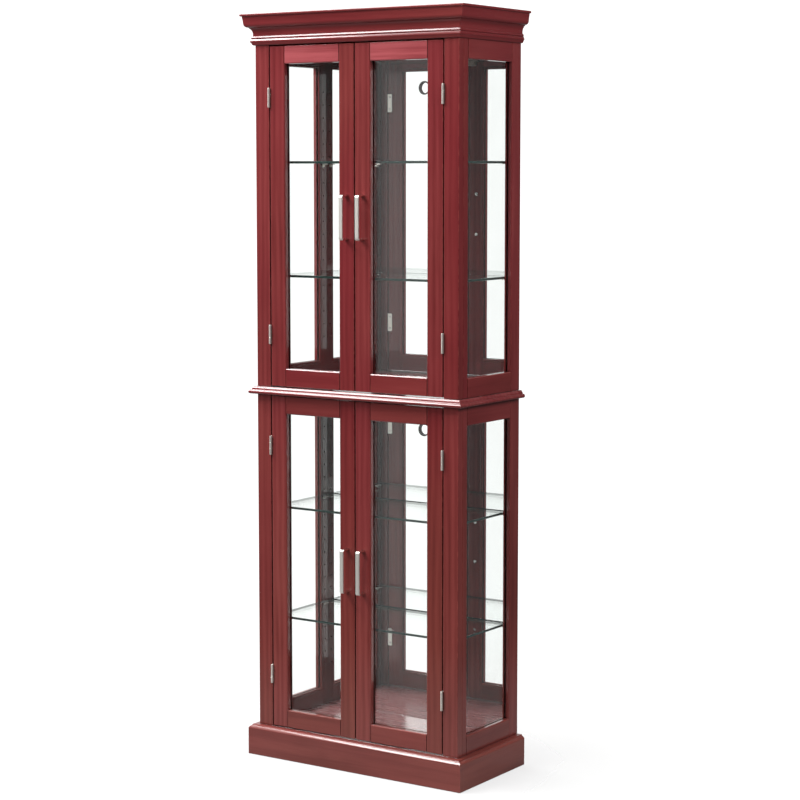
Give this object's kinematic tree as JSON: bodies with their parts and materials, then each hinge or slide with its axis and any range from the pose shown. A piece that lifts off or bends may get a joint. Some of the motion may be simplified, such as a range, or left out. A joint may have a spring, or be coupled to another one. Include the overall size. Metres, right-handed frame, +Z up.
{
  "type": "display cabinet",
  "caption": "Tall two-section display cabinet with hinged glass doors, glazed sides, glass shelves, mirrored back, crown cornice and moulded plinth.",
  "frame": {"origin": "centre of the overall footprint (cornice included), on the floor", "axes": "+Z up, -Y out of the doors, +X to the right of someone facing the doors"},
  "size_m": [0.63, 0.298, 1.8],
  "materials": {
    "cherry_wood": "dark cherry stain under satin lacquer, fine straight grain",
    "clear_glass": "clear tempered glass, greenish polished edges",
    "mirror_back": "silvered flat mirror",
    "backing_board": "plain brown hardboard",
    "satin_nickel": "satin nickel plate",
    "catch_plastic": "ivory moulded plastic"
  },
  "bodies": {
    "cabinet": {"plinth_front": "cherry_wood", "bottom_panel": "cherry_wood", "waist_board": "cherry_wood", "cornice_front": "cherry_wood", "top_panel": "cherry_wood", "ceiling_panel": "cherry_wood", "plinth_left": "cherry_wood", "plinth_right": "cherry_wood", "cornice_left": "cherry_wood", "cornice_right": "cherry_wood", "upper_left_post": "cherry_wood", "upper_left_side_frame": "cherry_wood", "upper_left_side_glass": "clear_glass", "upper_right_post": "cherry_wood", "upper_right_side_frame": "cherry_wood", "upper_right_side_glass": "clear_glass", "upper_mirror": "mirror_back", "upper_back_board": "backing_board", "upper_shelf_1": "clear_glass", "upper_shelf_2": "clear_glass", "upper_catch": "catch_plastic", "lower_left_post": "cherry_wood", "lower_left_side_frame": "cherry_wood", "lower_left_side_glass": "clear_glass", "lower_right_post": "cherry_wood", "lower_right_side_frame": "cherry_wood", "lower_right_side_glass": "clear_glass", "lower_mirror": "mirror_back", "lower_back_board": "backing_board", "lower_shelf_1": "clear_glass", "lower_shelf_2": "clear_glass", "lower_catch": "catch_plastic", "upper_left_bottom_hinge_fixed_leaf": "satin_nickel", "upper_left_top_hinge_fixed_leaf": "satin_nickel", "upper_right_bottom_hinge_fixed_leaf": "satin_nickel", "upper_right_top_hinge_fixed_leaf": "satin_nickel", "lower_left_bottom_hinge_fixed_leaf": "satin_nickel", "lower_left_top_hinge_fixed_leaf": "satin_nickel", "lower_right_bottom_hinge_fixed_leaf": "satin_nickel", "lower_right_top_hinge_fixed_leaf": "satin_nickel"},
    "upper_left_door": {"upper_left_door_frame": "cherry_wood", "upper_left_door_glass": "clear_glass", "upper_left_pull": "satin_nickel", "upper_left_bottom_hinge_door_leaf": "satin_nickel", "upper_left_top_hinge_door_leaf": "satin_nickel"},
    "upper_right_door": {"upper_right_door_frame": "cherry_wood", "upper_right_door_glass": "clear_glass", "upper_right_pull": "satin_nickel", "upper_right_bottom_hinge_door_leaf": "satin_nickel", "upper_right_top_hinge_door_leaf": "satin_nickel"},
    "lower_left_door": {"lower_left_door_frame": "cherry_wood", "lower_left_door_glass": "clear_glass", "lower_left_pull": "satin_nickel", "lower_left_bottom_hinge_door_leaf": "satin_nickel", "lower_left_top_hinge_door_leaf": "satin_nickel"},
    "lower_right_door": {"lower_right_door_frame": "cherry_wood", "lower_right_door_glass": "clear_glass", "lower_right_pull": "satin_nickel", "lower_right_bottom_hinge_door_leaf": "satin_nickel", "lower_right_top_hinge_door_leaf": "satin_nickel"}
  },
  "joints": [
    {"name": "upper_left_door_hinge", "type": "hinge", "parent": "cabinet", "child": "upper_left_door", "pos_m": [-0.2465, -0.1252, 1.318], "axis": [0, 0, -1], "range_deg": [0, 170]},
    {"name": "upper_right_door_hinge", "type": "hinge", "parent": "cabinet", "child": "upper_right_door", "pos_m": [0.2465, -0.1252, 1.318], "axis": [0, 0, 1], "range_deg": [0, 170]},
    {"name": "lower_left_door_hinge", "type": "hinge", "parent": "cabinet", "child": "lower_left_door", "pos_m": [-0.2465, -0.1252, 0.483], "axis": [0, 0, -1], "range_deg": [0, 170]},
    {"name": "lower_right_door_hinge", "type": "hinge", "parent": "cabinet", "child": "lower_right_door", "pos_m": [0.2465, -0.1252, 0.483], "axis": [0, 0, 1], "range_deg": [0, 170]}
  ]
}
